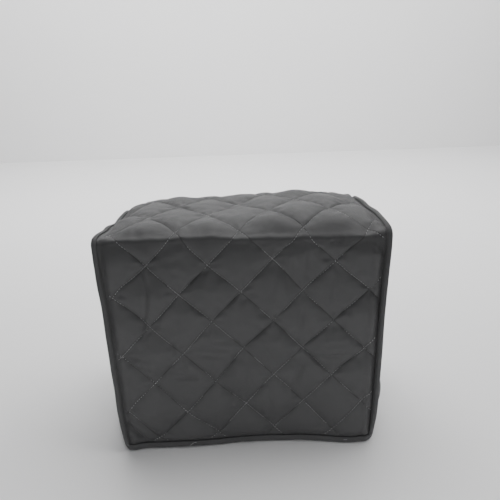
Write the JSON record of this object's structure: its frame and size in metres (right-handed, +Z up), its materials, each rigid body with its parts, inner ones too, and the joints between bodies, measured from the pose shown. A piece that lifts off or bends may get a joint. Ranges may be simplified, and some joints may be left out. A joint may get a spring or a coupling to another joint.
{
  "type": "toaster cover",
  "caption": "Quilted cloth cover for a toaster: a hollow box shape, open below, with taped outward seams and a taped hem on which it stands.",
  "frame": {"origin": "on the floor under the middle of the cover", "axes": "+Z up, front towards -Y, +X to the right of someone who looks at the front"},
  "size_m": [0.3192, 0.1808, 0.2611],
  "materials": {
    "quilted_cloth": "charcoal woven polyester, diamond quilted with pale grey thread, slight satin sheen",
    "binding_tape": "dark woven binding tape, matt"
  },
  "bodies": {
    "root": {"main_panel": "quilted_cloth", "side_left": "quilted_cloth", "side_right": "quilted_cloth", "seam_binding_left": "binding_tape", "seam_binding_right": "binding_tape", "hem_binding": "binding_tape"}
  },
  "joints": []
}
